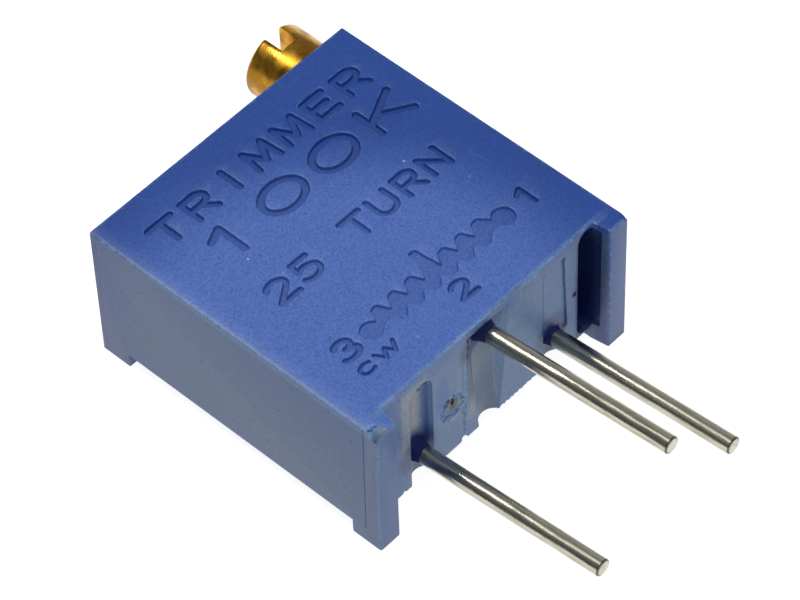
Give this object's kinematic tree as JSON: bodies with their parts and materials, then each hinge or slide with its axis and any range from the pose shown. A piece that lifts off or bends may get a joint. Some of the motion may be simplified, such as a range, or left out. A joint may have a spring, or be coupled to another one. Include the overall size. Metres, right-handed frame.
{
  "type": "multi-turn trimmer potentiometer",
  "caption": "Square blue multi-turn trimmer potentiometer with a slotted brass adjusting screw on one edge face and terminal pins in a triangle on the opposite one.",
  "frame": {"origin": "middle of the overall length and width, on the plane of the four back feet", "axes": "+Z out of the marked face, +X along the marking's reading direction, +Y from the terminals towards the adjusting screw"},
  "size_m": [0.0096, 0.0168, 0.0047],
  "materials": {
    "blue_plastic": "moulded thermoset with a faint sheen",
    "blue_epoxy": "cured sealing compound",
    "brass": "turned, slightly dulled",
    "black_rubber": "smooth",
    "spring_steel": "rolled strip",
    "pale_plastic": "moulded",
    "contact_alloy": "stamped spring alloy, bright",
    "alumina": "fired, matt",
    "cermet": "fired film, matt",
    "silver_film": "fired conductor film",
    "solder": "bright fillet",
    "tinned_wire": "tinned, slightly dulled"
  },
  "bodies": {
    "case": {"housing": "blue_plastic", "potting": "blue_epoxy", "screw_retainer": "spring_steel", "ceramic_substrate": "alumina", "resistive_track": "cermet", "collector_ring": "silver_film", "track_pad_1": "silver_film", "track_pad_3": "silver_film", "solder_joint_1": "solder", "solder_joint_2": "solder", "solder_joint_3": "solder", "terminal_pin_1": "tinned_wire", "terminal_pin_2": "tinned_wire", "terminal_pin_3": "tinned_wire"},
    "screw": {"adjustment_screw": "brass", "screw_o_ring": "black_rubber"},
    "rotor": {"worm_wheel": "pale_plastic", "wiper_contact": "contact_alloy"}
  },
  "joints": [
    {"name": "screw_turn", "type": "hinge", "parent": "case", "child": "screw", "pos_m": [0.00358, 0.0019, 0.0034], "axis": [0, 1, 0], "range_deg": [-4500, 4500]},
    {"name": "rotor_turn", "type": "hinge", "parent": "case", "child": "rotor", "pos_m": [0, 0.0019, 0.0034], "axis": [0, 0, 1], "range_deg": [-137, 137]}
  ],
  "couplings": [
    {"joint": "rotor_turn", "follows": "screw_turn", "ratio": -0.030303}
  ]
}
